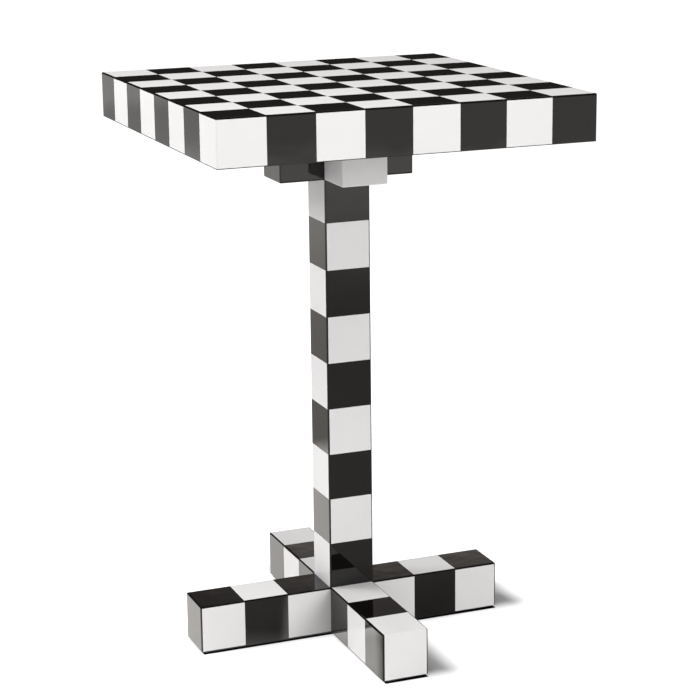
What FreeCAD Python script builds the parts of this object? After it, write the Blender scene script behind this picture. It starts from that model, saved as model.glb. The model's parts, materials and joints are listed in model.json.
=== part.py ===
# Chess table: a board of inlaid squares on a small cross, a square post and a floor cross.
# Millimetres. +Z is up, +X is right, -Y is the front. The origin is on the floor, on the post's axis.
import FreeCAD, Part
import math
import os

# ---- driving dimensions ----
board_square = 62.0        # side of one board square
squares_per_side = 8
top_thickness = 60.0       # board, from its playing surface to its underside
post_square = 63.0         # side of the post, and width of both crosses
post_rows = 9              # squares up the post
head_height = 62.0         # cross under the board
head_squares = 3           # span of that cross, in board squares
base_height = 63.0         # floor cross
base_squares = 7           # span of the floor cross, in board squares
floor_gap = 4.0            # under the floor cross's tiles, with the glides screwed in
plinth_height = 3.0        # how far the black beams stand below those tiles
edge_line = 1.0            # black line of the underside panel below the board's rim tiles
housing_depth = 6.0        # how far the post is let into the head cross

inlay = 3.0                # thickness of every lacquered tile
edge_radius = 2.0          # rounding of the outer edges

deck_thickness = 12.0
underside_thickness = 6.0
rail_width = 20.0
cross_rail_width = 40.0
post_wall = 12.0           # core boards of the post
plug_length = 40.0         # blocks that close the post's ends

rod_diameter = 10.0
rod_hole = 10.6
rod_end_margin = 2.0       # thread that stands past a nut
thread_fit = 0.05          # radial, between a thread and the hole that carries it
washer_diameter = 30.0
washer_thickness = 2.5
nut_across_flats = 17.0
nut_height = 8.0
nut_recess_width = 34.0    # round in the head bars, square in the floor beam
base_recess_depth = 22.0
head_recess_depth = 16.0

screw_diameter = 6.0
screw_hole = 6.4
screw_length = 70.0        # under the head
screw_head_diameter = 12.0
screw_head_height = 3.5
screw_socket = 4.0         # across the flats of the hexagonal socket
screw_socket_depth = 2.5
screw_recess_diameter = 13.0
screw_recess_depth = 32.0
hole_plug_length = 8.0
plug_clearance = 0.1       # radial

stem_diameter = 8.0
stem_length = 28.0
insert_diameter = 12.0
insert_length = 32.0
insert_flange_diameter = 20.0
insert_flange_height = 1.5
pad_diameter = 24.0
pad_across_flats = 20.0
pad_socket_depth = 2.0     # how deep the stem stands in the pad
pad_edge_radius = 0.8      # rounding where the pad meets the floor
pad_pocket_diameter = 26.0
nut_chamfer_angle = 30.0   # of the cone that takes off a nut's corners, in degrees

# ---- levels and spans that follow ----
base_bottom = floor_gap
plinth_bottom = base_bottom - plinth_height
base_top = base_bottom + base_height
post_bottom = base_top - inlay
post_top = base_top + post_rows * post_square
head_bottom = post_top - housing_depth
head_top = head_bottom + head_height
board_top = head_top + top_thickness
board_half = squares_per_side * board_square / 2
rim_bottom = board_top - top_thickness + edge_line
core_half = board_half - inlay
post_half = post_square / 2
beam_half = post_half - inlay
head_reach = head_squares * board_square / 2
base_reach = base_squares * board_square / 2
glide_reach = base_reach - board_square / 2
screw_reach = head_reach - board_square / 2
rail_bottom = head_top + underside_thickness
rail_top = board_top - inlay - deck_thickness
quarter_turns = {name: 90 * k for k, name in enumerate(("right", "back", "left", "front"))}
axis_z = FreeCAD.Vector(0, 0, 1)
origin = FreeCAD.Vector(0, 0, 0)


def block(low, high):
    size = [high[k] - low[k] for k in range(3)]
    return Part.makeBox(size[0], size[1], size[2], FreeCAD.Vector(*low))


def rod(diameter, bottom, top, x=0.0, y=0.0):
    return Part.makeCylinder(diameter / 2, top - bottom, FreeCAD.Vector(x, y, bottom))


def hexagon(across_flats, bottom, top, x=0.0, y=0.0):
    radius = across_flats / math.sqrt(3)
    turns = [math.radians(60 * k) for k in range(7)]
    rim = [FreeCAD.Vector(x + radius * math.cos(a), y + radius * math.sin(a), bottom) for a in turns]
    return Part.Face(Part.makePolygon(rim)).extrude(FreeCAD.Vector(0, 0, top - bottom))


def turned(shape, degrees):
    copy = shape.copy()
    copy.rotate(origin, axis_z, degrees)
    return copy


def drilled(shape, *holes):
    for hole in holes:
        shape = shape.cut(hole)
    return shape


# A tile is a plate whose four sides lean as they go in by the tile's thickness:
# 1 leans inwards for an outer mitre, -1 outwards for an inner mitre, 0 stays square.
def tile(normal, outward, face, a_span, b_span, a_lean, b_lean):
    a_axis = (normal + 1) % 3
    b_axis = (normal + 2) % 3

    def corner(k, m, depth):
        point = [0.0, 0.0, 0.0]
        point[normal] = face - outward * depth
        point[a_axis] = a_span[k] + (1, -1)[k] * a_lean[k] * depth
        point[b_axis] = b_span[m] + (1, -1)[m] * b_lean[m] * depth
        return FreeCAD.Vector(*point)

    ring = [(0, 0), (1, 0), (1, 1), (0, 1)]
    outer = [corner(k, m, 0.0) for k, m in ring]
    inner = [corner(k, m, inlay) for k, m in ring]
    faces = [outer, inner]
    for k in range(4):
        nxt = (k + 1) % 4
        faces.append([outer[k], outer[nxt], inner[nxt], inner[k]])
    shell = Part.Shell([Part.Face(Part.makePolygon(f + f[:1])) for f in faces])
    solid = Part.Solid(shell)
    if solid.Volume < 0:
        solid.reverse()
    return solid


# Fillets the edges of a block whose middles satisfy a test.
def rounded(shape, wanted):
    return shape.makeFillet(edge_radius, [e for e in shape.Edges if wanted(e.BoundBox.Center)])


# ---- board ----
def board_envelope():
    body = block((-board_half, -board_half, head_top), (board_half, board_half, board_top))
    return rounded(body, lambda middle: middle.z > rim_bottom)


def board_squares(envelope):
    groups = {"dark": [], "light": []}
    last = squares_per_side - 1
    for i in range(squares_per_side):
        for j in range(squares_per_side):
            x = -board_half + i * board_square
            y = -board_half + j * board_square
            square = tile(2, 1, board_top, (x, x + board_square), (y, y + board_square),
                          (i == 0, i == last), (j == 0, j == last))
            if i in (0, last) or j in (0, last):
                square = square.common(envelope)
            groups["dark" if (i + j) % 2 == 0 else "light"].append(square)
    return groups


# The rim tile beside a square has the other colour. Each side is the right-hand one, turned.
def board_edges(envelope):
    groups = {"dark": [], "light": []}
    last = squares_per_side - 1
    for k in range(squares_per_side):
        y = -board_half + k * board_square
        side = tile(0, 1, board_half, (y, y + board_square), (rim_bottom, board_top),
                    (k == 0, k == last), (0, 1)).common(envelope)
        for name, degrees in quarter_turns.items():
            starts_dark = name in ("right", "left")
            dark = (k % 2 == 0) == starts_dark
            groups["dark" if dark else "light"].append(turned(side, degrees))
    return groups


def deck_panel():
    return block((-core_half, -core_half, rail_top), (core_half, core_half, board_top - inlay))


# The panel has a thin lip that reaches out under the rim tiles.
def underside_panel(envelope):
    panel = block((-core_half, -core_half, head_top), (core_half, core_half, rail_bottom))
    lip = block((-board_half, -board_half, head_top), (board_half, board_half, rim_bottom)).common(envelope)
    return drilled(panel.fuse(lip).removeSplitter(), *screw_holes())


def long_rail(side):
    rail = block((-core_half, core_half - rail_width, rail_bottom), (core_half, core_half, rail_top))
    return turned(rail, 0 if side == "back" else 180)


def short_rail(side):
    span = core_half - rail_width
    rail = block((span, -span, rail_bottom), (core_half, span, rail_top))
    return turned(rail, 0 if side == "right" else 180)


# ---- half-lapped crosses ----
# Each bar lies along X or Y and gives up one half of its height where the two cross.
def lapped_bar(axis, reach, half_width, bottom, top):
    middle = (bottom + top) / 2
    bar = block((-reach, -half_width, bottom), (reach, half_width, top))
    if axis == "x":
        return bar.cut(block((-half_width, -half_width, middle), (half_width, half_width, top)))
    return turned(bar.cut(block((-half_width, -half_width, bottom), (half_width, half_width, middle))), 90)


def cross_rail(axis):
    rail = lapped_bar(axis, core_half - rail_width, cross_rail_width / 2, rail_bottom, rail_top)
    return drilled(rail, *screw_holes())


def post_envelope():
    return block((-post_half, -post_half, post_bottom), (post_half, post_half, post_top))


def head_bar(axis):
    bar = lapped_bar(axis, head_reach - inlay, beam_half, head_bottom + inlay, head_top)
    recess = rod(nut_recess_width, head_top - head_recess_depth, head_top)
    return drilled(bar, post_envelope(), rod(rod_hole, head_bottom, head_top), recess, *screw_holes())


# The beams stand below the tiles as a set-back plinth, with a pocket for every glide pad.
def base_beam(axis):
    beam = lapped_bar(axis, base_reach - inlay, beam_half, plinth_bottom, post_bottom)
    pockets = around(rod(pad_pocket_diameter, plinth_bottom, base_bottom, glide_reach))
    return drilled(beam, rod(rod_hole, plinth_bottom, base_top), *pockets, *insert_holes())


# The lower beam is glued up: a notched board over two outer strips and two middle strips,
# and the middle strips stop short of each other to leave the pocket for the nut.
def glued_beam():
    beam = base_beam("x")
    half = nut_recess_width / 2
    seat = base_bottom + base_recess_depth
    strips = [
        ((-base_reach, -beam_half, seat), (base_reach, beam_half, post_bottom)),
        ((-base_reach, half, plinth_bottom), (base_reach, beam_half, seat)),
        ((-base_reach, -beam_half, plinth_bottom), (base_reach, -half, seat)),
        ((half, -half, plinth_bottom), (base_reach, half, seat)),
        ((-base_reach, -half, plinth_bottom), (-half, half, seat)),
    ]
    return [beam.common(block(low, high)) for low, high in strips]


# Tiles take the arm's rounded outer shape and give way to the post.
def trimmed(tiles, envelope):
    return [piece.common(envelope).cut(post_envelope()) for piece in tiles]


# One arm lies along +X from the post's face. cap is 1 where its tiled face is on top, -1 underneath.
def arm_tiles(reach, squares, bottom, top, cap):
    z_lean = (0, 1) if cap > 0 else (1, 0)
    root = post_half
    envelope = block((root - inlay, -post_half, bottom), (reach, post_half, top))
    cap_face = top if cap > 0 else bottom

    def on_outside(middle):
        at_root = abs(middle.x - (root - inlay)) < inlay / 2
        at_seat = abs(middle.z - (bottom if cap > 0 else top)) < inlay / 2
        return not at_root and not at_seat

    envelope = rounded(envelope, on_outside)
    caps = []
    sides = []
    for n in range(squares):
        far = reach - (squares - n - 1) * board_square
        near = root if n == 0 else far - board_square
        at_end = int(n == squares - 1)
        at_corner = -int(n == 0)
        cap_tile = tile(2, cap, cap_face, (near, far), (-post_half, post_half), (0, at_end), (1, 1))
        side_tiles = [tile(1, way, way * post_half, (bottom, top), (near, far), z_lean, (at_corner, at_end))
                      for way in (-1, 1)]
        caps.append(trimmed([cap_tile], envelope))
        sides.append(trimmed(side_tiles, envelope))
    end = tile(0, 1, reach, (-post_half, post_half), (bottom, top), (1, 1), z_lean)
    return caps, sides, trimmed([end], envelope)


# Floor arms alternate; the left and right arms start dark on top, the front and back ones light.
def base_arm(name):
    squares = (base_squares - 1) // 2
    caps, sides, end = arm_tiles(base_reach, squares, base_bottom, base_top, 1)
    groups = {"dark": [], "light": []}
    first_dark = name in ("left", "right")
    for n in range(squares):
        cap_dark = (n % 2 == 0) == first_dark
        groups["dark" if cap_dark else "light"] += caps[n]
        groups["light" if cap_dark else "dark"] += sides[n]
    groups["dark" if cap_dark else "light"] += end
    degrees = quarter_turns[name]
    return {shade: [turned(piece, degrees) for piece in group] for shade, group in groups.items()}


def head_cladding(name):
    caps, sides, end = arm_tiles(head_reach, (head_squares - 1) // 2, head_bottom, head_top, -1)
    opening = rod(screw_recess_diameter, head_bottom, head_top, screw_reach)
    pieces = [piece.cut(opening) for group in caps for piece in group]
    pieces += [piece for group in sides for piece in group] + end
    return [turned(piece, quarter_turns[name]) for piece in pieces]


# ---- fixings between the head cross and the board ----
def around(shape):
    return [turned(shape, degrees) for degrees in quarter_turns.values()]


def screw_holes():
    seat = head_bottom + screw_recess_depth
    hole = rod(screw_hole, head_bottom, seat + screw_length, screw_reach)
    return around(hole.fuse(rod(screw_recess_diameter, head_bottom, seat, screw_reach)))


def top_screw():
    seat = head_bottom + screw_recess_depth
    head = rod(screw_head_diameter, seat - screw_head_height, seat, screw_reach)
    socket_floor = seat - screw_head_height + screw_socket_depth
    head = head.cut(hexagon(screw_socket, seat - screw_head_height, socket_floor, screw_reach))
    return head.fuse(rod(screw_diameter, seat, seat + screw_length, screw_reach)).removeSplitter()


def hole_plug():
    diameter = screw_recess_diameter - 2 * plug_clearance
    return rod(diameter, head_bottom, head_bottom + hole_plug_length, screw_reach)


# ---- post ----
def post_core_board(name):
    outer = beam_half
    if name in ("front", "back"):
        board = block((outer - post_wall, -outer, post_bottom), (outer, outer, post_top))
    else:
        side = outer - post_wall
        board = block((outer - post_wall, -side, post_bottom), (outer, side, post_top))
    return turned(board, quarter_turns[name])


def post_tiles(name):
    envelope = rounded(post_envelope(), lambda middle: min(abs(middle.x), abs(middle.y)) > beam_half)
    groups = {"dark": [], "light": []}
    starts_dark = name in ("front", "back")
    for row in range(post_rows):
        low = post_bottom if row == 0 else base_top + row * post_square
        high = base_top + (row + 1) * post_square
        face = tile(0, 1, post_half, (-post_half, post_half), (low, high), (1, 1), (0, 0)).common(envelope)
        dark = (row % 2 == 0) == starts_dark
        groups["dark" if dark else "light"].append(turned(face, quarter_turns[name]))
    return groups


def post_plug(bottom):
    half = beam_half - post_wall
    plug = block((-half, -half, bottom), (half, half, bottom + plug_length))
    return drilled(plug, rod(rod_hole, bottom, bottom + plug_length))


# ---- tie rod ----
washer_levels = (base_bottom + base_recess_depth - washer_thickness, head_top - head_recess_depth)
nut_levels = (washer_levels[0] - nut_height, washer_levels[1] + washer_thickness)


def tie_rod():
    return rod(rod_diameter, nut_levels[0] - rod_end_margin, nut_levels[1] + nut_height + rod_end_margin)


def washer(bottom):
    ring = rod(washer_diameter, bottom, bottom + washer_thickness)
    return ring.cut(rod(rod_hole, bottom, bottom + washer_thickness))


# A nut is a hexagon inside a round blank whose two rims slope off the corners.
def nut(bottom):
    corner = nut_across_flats / math.sqrt(3)
    rim = nut_across_flats / 2
    slope = (corner - rim) * math.tan(math.radians(nut_chamfer_angle))
    top = bottom + nut_height
    lower_rim = [(0, bottom), (rim, bottom), (corner, bottom + slope)]
    upper_rim = [(corner, top - slope), (rim, top), (0, top)]
    ring = [FreeCAD.Vector(radius, 0, z) for radius, z in lower_rim + upper_rim + lower_rim[:1]]
    blank = Part.Face(Part.makePolygon(ring)).revolve(origin, axis_z, 360)
    bore = rod(rod_diameter + 2 * thread_fit, bottom, top)
    return hexagon(nut_across_flats, bottom, top).common(blank).cut(bore)


# ---- levelling glides ----
def insert_body(reach):
    flange = rod(insert_flange_diameter, base_bottom, base_bottom + insert_flange_height, reach)
    sleeve = rod(insert_diameter, base_bottom, base_bottom + insert_length, reach)
    return flange.fuse(sleeve).removeSplitter()


def insert_holes():
    return around(insert_body(glide_reach))


def glide_insert():
    bore = rod(stem_diameter + 2 * thread_fit, base_bottom, base_bottom + insert_length, glide_reach)
    return insert_body(glide_reach).cut(bore)


def glide_stem(name):
    foot = base_bottom - pad_socket_depth
    return turned(rod(stem_diameter, foot, foot + stem_length, glide_reach), quarter_turns[name])


def glide_pad(name):
    half = pad_across_flats / 2
    disc = rod(pad_diameter, 0.0, floor_gap, glide_reach)
    disc = disc.makeFillet(pad_edge_radius, [e for e in disc.Edges if e.BoundBox.ZMax < pad_edge_radius])
    flats = block((glide_reach - pad_diameter, -half, 0.0), (glide_reach + pad_diameter, half, floor_gap))
    socket = rod(stem_diameter + 2 * thread_fit, floor_gap - pad_socket_depth, floor_gap, glide_reach)
    return turned(disc.common(flats).cut(socket), quarter_turns[name])


# ---- every node ----
def save(name, pieces):
    shape = pieces[0] if len(pieces) == 1 else Part.makeCompound(pieces)
    shape.exportStep("parts/" + name + ".step")


def main():
    os.makedirs("parts", exist_ok=True)
    envelope = board_envelope()
    for shade, group in board_squares(envelope).items():
        save("board_" + shade + "_squares", group)
    for shade, group in board_edges(envelope).items():
        save("board_" + shade + "_edge_tiles", group)
    save("deck_panel", [deck_panel()])
    save("underside_panel", [underside_panel(envelope)])
    for side in ("front", "back"):
        save(side + "_rail", [long_rail(side)])
    for side in ("left", "right"):
        save(side + "_rail", [short_rail(side)])
    for axis in ("x", "y"):
        save("cross_rail_" + axis, [cross_rail(axis)])
        save("head_bar_" + axis, [head_bar(axis)])
    save("base_beam_x", glued_beam())
    save("base_beam_y", [base_beam("y")])
    for name in quarter_turns:
        save("head_" + name + "_cladding", head_cladding(name))
        save("post_" + name + "_board", [post_core_board(name)])
        for shade, group in post_tiles(name).items():
            save("post_" + name + "_" + shade + "_tiles", group)
        for shade, group in base_arm(name).items():
            save(name + "_arm_" + shade + "_tiles", group)
        save(name + "_glide_stem", [glide_stem(name)])
        save(name + "_glide_pad", [glide_pad(name)])
    save("top_screws", around(top_screw()))
    save("dark_hole_plugs", [turned(hole_plug(), quarter_turns[name]) for name in ("left", "right")])
    save("light_hole_plugs", [turned(hole_plug(), quarter_turns[name]) for name in ("front", "back")])
    save("post_bottom_plug", [post_plug(post_bottom)])
    save("post_top_plug", [post_plug(post_top - plug_length)])
    save("tie_rod", [tie_rod()])
    save("tie_rod_washers", [washer(level) for level in washer_levels])
    save("tie_rod_nuts", [nut(level) for level in nut_levels])
    save("glide_inserts", around(glide_insert()))


main()
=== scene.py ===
import json
import math

import bmesh
import bpy
import numpy as np
from mathutils import Matrix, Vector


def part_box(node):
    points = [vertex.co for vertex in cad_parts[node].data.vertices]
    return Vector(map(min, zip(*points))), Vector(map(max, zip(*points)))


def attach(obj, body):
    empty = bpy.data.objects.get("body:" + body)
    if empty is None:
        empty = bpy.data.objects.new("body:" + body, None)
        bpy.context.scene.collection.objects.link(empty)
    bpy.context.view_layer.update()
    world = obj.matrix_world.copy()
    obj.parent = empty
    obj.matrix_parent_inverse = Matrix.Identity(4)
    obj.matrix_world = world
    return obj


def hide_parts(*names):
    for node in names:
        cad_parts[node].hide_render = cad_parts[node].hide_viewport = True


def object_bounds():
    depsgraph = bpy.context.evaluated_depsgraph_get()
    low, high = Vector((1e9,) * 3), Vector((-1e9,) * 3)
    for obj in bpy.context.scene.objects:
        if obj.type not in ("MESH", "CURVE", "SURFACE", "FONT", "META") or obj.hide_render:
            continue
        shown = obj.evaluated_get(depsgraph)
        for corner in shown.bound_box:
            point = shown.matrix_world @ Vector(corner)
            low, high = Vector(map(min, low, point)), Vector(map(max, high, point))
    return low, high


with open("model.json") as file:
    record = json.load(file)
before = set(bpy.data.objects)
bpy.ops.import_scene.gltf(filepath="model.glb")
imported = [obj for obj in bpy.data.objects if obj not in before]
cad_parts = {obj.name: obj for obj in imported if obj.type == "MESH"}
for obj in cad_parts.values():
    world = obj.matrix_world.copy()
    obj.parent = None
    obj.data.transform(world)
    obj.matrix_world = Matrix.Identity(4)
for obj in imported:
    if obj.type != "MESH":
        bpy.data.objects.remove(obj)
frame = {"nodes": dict(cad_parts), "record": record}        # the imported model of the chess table, in metres
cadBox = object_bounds()
print("frame loaded:", len(frame["nodes"]), "nodes")


# Places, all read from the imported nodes.
def lowOf(node):
    return np.array(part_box(node)[0])


def highOf(node):
    return np.array(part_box(node)[1])


arms = ("right", "back", "left", "front")     # each a quarter turn on from the one before
pattern = {"boardSquares": 8, "postSquares": 9, "armSquares": 3}     # tiles in a row of each part
boardHalf = cadBox[1].x
boardTop = cadBox[1].z
rimBottom = lowOf("board_dark_edge_tiles")[2]
postHalf = highOf("post_right_dark_tiles")[0]
postTop = highOf("post_front_board")[2]      # where the head's bars lie on it
postBottom = lowOf("post_front_board")[2]
armBottom = lowOf("right_arm_dark_tiles")[2]
armReach = highOf("right_arm_dark_tiles")[0]
armTop = highOf("right_arm_dark_tiles")[2]
headBottom = lowOf("head_right_cladding")[2]
headReach = highOf("head_right_cladding")[0]
headTop = highOf("head_right_cladding")[2]
squareSize = 2 * boardHalf / pattern["boardSquares"]


# Puts whole arrays of points and faces into a new object. corners is one flat array of
# point numbers, and counts says how many of them each face takes.
def meshObject(name, points, corners, counts, places=None, tones=None):
    mesh = bpy.data.meshes.new(name)
    mesh.vertices.add(len(points))
    mesh.vertices.foreach_set("co", np.asarray(points, np.float32).ravel())
    mesh.loops.add(len(corners))
    mesh.loops.foreach_set("vertex_index", np.asarray(corners, np.int32))
    mesh.polygons.add(len(counts))
    starts = np.concatenate([[0], np.cumsum(counts)[:-1]])
    mesh.polygons.foreach_set("loop_start", starts.astype(np.int32))
    mesh.update(calc_edges=True)
    if places is not None:
        layer = mesh.uv_layers.new(name="place")
        layer.data.foreach_set("uv", np.asarray(places, np.float32)[corners].ravel())
    if tones is not None:
        tone = mesh.attributes.new("tone", "FLOAT", "POINT")
        tone.data.foreach_set("value", np.asarray(tones, np.float32))
    piece = bpy.data.objects.new(name, mesh)
    bpy.context.scene.collection.objects.link(piece)
    return piece


meshCare = {"weldWithin": 1e-7, "dropWithin": 1e-8, "sharpFrom": 30.0}     # metres, and degrees


def shadeSmooth(mesh):
    mesh.shade_smooth()
    mesh.set_sharp_from_angle(angle=math.radians(meshCare["sharpFrom"]))


# Turns every face outwards and shades smooth except over sharp edges. A surface that closes
# on itself is welded first; tiles that only touch stay apart.
def finishMesh(piece, weld):
    work = bmesh.new()
    work.from_mesh(piece.data)
    if weld:
        bmesh.ops.remove_doubles(work, verts=work.verts, dist=meshCare["weldWithin"])
    bmesh.ops.dissolve_degenerate(work, edges=work.edges, dist=meshCare["dropWithin"])
    bmesh.ops.recalc_face_normals(work, faces=work.faces)
    work.to_mesh(piece.data)
    work.free()
    shadeSmooth(piece.data)
    return piece


def quarterTurn(points, turns):
    angle = turns * math.pi / 2
    c, s = round(math.cos(angle)), round(math.sin(angle))
    x, y = points[..., 0], points[..., 1]
    return np.stack([c * x - s * y, s * x + c * y, points[..., 2]], axis=-1)


# The lacquered tiles that face the board, the head's arms, the post and the foot.
tileSkin = {
    "thickness": 0.003,
    "edgeRadius": 0.002,
    "edgeSteps": 5,             # points over one rounded edge
    "seamDepth": 0.00006,       # how far the lacquer sinks over a joint
    "seamWidth": 0.0005,
    "supportLine": 0.0006,      # flat strip that keeps the rest of the tile flat
    "seamSupport": 0.0003,      # and the same beside a joint
}


# The grid lines beside one border of a tile, from the border inwards: how far the line's
# centre lies in, how far it leans over, and how deep it sinks.
# "arris" rounds 45 degrees to a tile of its own colour. Where the colours differ the dark
# tile goes "over" the whole rounded edge, and the light one stops "under" it. "seam" meets
# another tile, "sawn" ends square and open, "butt" and "corner" meet another part.
def borderLines(kind):
    steps = tileSkin["edgeSteps"]
    if kind in ("arris", "over"):
        lean = np.linspace(45.0 if kind == "arris" else 90.0, 0.0, steps)
        inset = np.full(steps, tileSkin["edgeRadius"])
        inset = np.append(inset, inset[0] + tileSkin["supportLine"])
        return inset, np.append(np.radians(lean), 0.0), np.zeros(steps + 1)
    width = tileSkin["seamWidth"]
    inset = np.append(np.linspace(0.0, width, steps), width + tileSkin["seamSupport"])
    if kind == "under":
        inset += tileSkin["edgeRadius"]
    sink = np.zeros(steps + 1)
    if kind == "seam":
        fromJoint = np.clip(inset / width, 0.0, 1.0)
        sink = tileSkin["seamDepth"] * (1 + np.cos(math.pi * fromJoint)) / 2
    return inset, np.zeros(steps + 1), sink


def tileLines(low, high, lowKind, highKind):
    inset, lean, sink = borderLines(lowKind)
    farInset, farLean, farSink = borderLines(highKind)
    centre = np.concatenate([low + inset, (high - farInset)[::-1]])
    lean = np.concatenate([-lean, farLean[::-1]])
    sink = np.concatenate([sink, farSink[::-1]])
    isOver = np.repeat([lowKind == "over", highKind == "over"], len(inset))
    return centre, lean, sink, isOver


# How a tile's back is set in at a border: 1 for a mitre, -1 behind an inner corner.
borderLean = {
    "arris": 1.0,
    "over": 1.0,
    "under": 1.0,
    "seam": 0.0,
    "sawn": 0.0,
    "butt": 0.0,
    "corner": -1.0,
}


# How a tile ends at an edge where the colour changes.
def edgeKind(isDark):
    return "over" if isDark else "under"


# sin a / (sin a + cos a), with the angle's sign: how far over an edge a direction lies.
def shareOver(angle):
    return np.sin(angle) / (np.abs(np.sin(angle)) + np.cos(angle))


# One tile's points. At the grid's line centres (a, b) the surface is a ball of the edge
# radius under the face, and each point lies on it in the direction of the two leans:
# (sin p cos q, cos p sin q, cos p cos q), made one long. At a corner that goes over both
# its edges it is (u, v, 1 - the larger), where u and v are the shares over them. The back
# is the same ring of border points, set in by its borders and one thickness down.
def tilePoints(tile):
    face, aSpan, bSpan, aKinds, bKinds = tile
    radius, thickness = tileSkin["edgeRadius"], tileSkin["thickness"]
    a, p, sinkA, overA = tileLines(*aSpan, *aKinds)
    b, q, sinkB, overB = tileLines(*bSpan, *bKinds)
    direction = np.stack([
        np.sin(p)[:, None] * np.cos(q)[None, :],
        np.cos(p)[:, None] * np.sin(q)[None, :],
        np.cos(p)[:, None] * np.cos(q)[None, :]], axis=-1)
    u, v = np.broadcast_arrays(shareOver(p)[:, None], shareOver(q)[None, :])
    overBoth = np.stack([u, v, 1 - np.maximum(np.abs(u), np.abs(v))], axis=-1)
    direction = np.where((overA[:, None] & overB[None, :])[..., None], overBoth, direction)
    direction /= np.linalg.norm(direction, axis=-1, keepdims=True)
    centre = np.stack(np.broadcast_arrays(a[:, None], b[None, :], face - radius), axis=-1)
    sink = np.maximum(sinkA[:, None], sinkB[None, :])
    outer = centre + direction * (radius - sink)[..., None]
    ring = outer[ringRows, ringColumns]
    middles, halves, newHalves = [], [], []
    for span, kinds in ((aSpan, aKinds), (bSpan, bKinds)):
        backLow = span[0] + borderLean[kinds[0]] * thickness
        backHigh = span[1] - borderLean[kinds[1]] * thickness
        middles.append(((span[0] + span[1]) / 2, (backLow + backHigh) / 2))
        halves.append((span[1] - span[0]) / 2)
        newHalves.append((backHigh - backLow) / 2)
    place = np.stack([(ring[:, k] - middles[k][0]) / halves[k] for k in (0, 1)], axis=-1)
    reach = np.abs(place).max(axis=-1, keepdims=True)
    place = place / reach                               # out to the border, from its rounding
    back = np.stack([middles[k][1] + place[:, k] * newHalves[k] for k in (0, 1)]
                    + [np.full(len(ring), face - thickness)], axis=-1)
    points = np.concatenate([outer.reshape(-1, 3), back])
    flat = np.stack([(points[:, k] - middles[k][0]) / halves[k] for k in (0, 1)], axis=-1)
    return points, np.clip(flat, -1, 1)


lineCount = 2 * (tileSkin["edgeSteps"] + 1)
gridNumbers = np.arange(lineCount ** 2).reshape(lineCount, lineCount)
ringRows = np.concatenate([
    np.arange(lineCount), np.full(lineCount - 2, lineCount - 1),
    np.arange(lineCount)[::-1], np.zeros(lineCount - 2, int)])
ringColumns = np.concatenate([
    np.zeros(lineCount, int), np.arange(1, lineCount - 1),
    np.full(lineCount, lineCount - 1), np.arange(1, lineCount - 1)[::-1]])


# Point numbers of one tile's faces: the front's grid, the walls round it and the back.
def tileFaces():
    g = gridNumbers
    front = np.stack([g[:-1, :-1], g[1:, :-1], g[1:, 1:], g[:-1, 1:]], axis=-1).reshape(-1, 4)
    ring = g[ringRows, ringColumns]
    back = np.arange(len(ring)) + lineCount ** 2
    nextRing, nextBack = np.roll(ring, -1), np.roll(back, -1)
    walls = np.stack([ring, back, nextBack, nextRing], axis=-1)
    corners = np.concatenate([front.ravel(), walls.ravel(), back[::-1]])
    counts = np.concatenate([np.full(len(front) + len(walls), 4), [len(back)]])
    return corners, counts


screwOpening = {"radius": 0.0065, "at": 0.062, "around": 48, "firstAngle": 225.0}


# Cuts a round opening through a tile. Its circle, cos and sin of an angle that starts in
# the direction of the tile's low corner, is put on the face and on the back. The grid's
# large middle face and the back become four parts each, from one corner to the next.
def openedTile(tile, points, places, corners, counts):
    middle, around = lineCount // 2, screwOpening["around"]
    ringLength = len(ringRows)
    angle = np.radians(screwOpening["firstAngle"]) + 2 * math.pi * np.arange(around) / around
    circle = np.stack([screwOpening["at"] + screwOpening["radius"] * np.cos(angle),
                       screwOpening["radius"] * np.sin(angle)], axis=-1)
    rims = [np.column_stack([circle, np.full(around, tile[0] - depth)])
            for depth in (0.0, tileSkin["thickness"])]
    outer = len(points) + np.arange(around + 1) % around
    inner = outer + around
    largeRows, largeColumns = middle - np.array([[1, 0, 0, 1], [1, 1, 0, 0]])
    large = gridNumbers[largeRows, largeColumns]
    faces = np.split(corners, np.cumsum(counts)[:-1])
    kept = [face for face in faces[:-1] if set(face) != set(large)]
    backRing = np.arange(ringLength + 1) % ringLength + lineCount ** 2
    for side in range(4):
        arc = slice(side * around // 4, (side + 1) * around // 4 + 1)
        edge = slice(side * ringLength // 4, (side + 1) * ringLength // 4 + 1)
        kept.append(np.concatenate([large[[side, (side + 1) % 4]], outer[arc][::-1]]))
        kept.append(np.concatenate([inner[arc], backRing[edge][::-1]]))
    kept += list(np.stack([outer[:-1], inner[:-1], inner[1:], outer[1:]], axis=-1))
    points = np.concatenate([points] + rims)
    places = np.concatenate([places, np.zeros((2 * around, 2))])
    return points, places, np.concatenate(kept), np.array([len(face) for face in kept])


# A tile is turned onto its part: normal is the axis it faces along, and way is its side.
def placed(points, normal, way):
    x, y, z = points[:, 0], points[:, 1], points[:, 2] * way
    order = {0: (z, x, y), 1: (y, z, x), 2: (x, y, z)}[normal]
    return np.stack(order, axis=-1)


def tileGroup(name, tiles, toneSeed, opened=None):
    rng = np.random.default_rng(toneSeed)
    allPoints, allPlaces, allCorners, allCounts, allTones = [], [], [], [], []
    first = 0
    for number, (tile, normal, way, turns) in enumerate(tiles):
        points, places = tilePoints(tile)
        corners, counts = tileFaces()
        if number == opened:
            points, places, corners, counts = openedTile(tile, points, places, corners, counts)
        allPoints.append(quarterTurn(placed(points, normal, way), turns))
        allPlaces.append(places)
        allCorners.append(corners + first)
        allCounts.append(counts)
        allTones.append(np.full(len(points), rng.random()))
        first += len(points)
    piece = meshObject(name, np.concatenate(allPoints), np.concatenate(allCorners),
                       np.concatenate(allCounts), np.concatenate(allPlaces),
                       np.concatenate(allTones))
    return finishMesh(piece, weld=False)


def shadeOf(isDark):
    return "dark" if isDark else "light"


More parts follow.
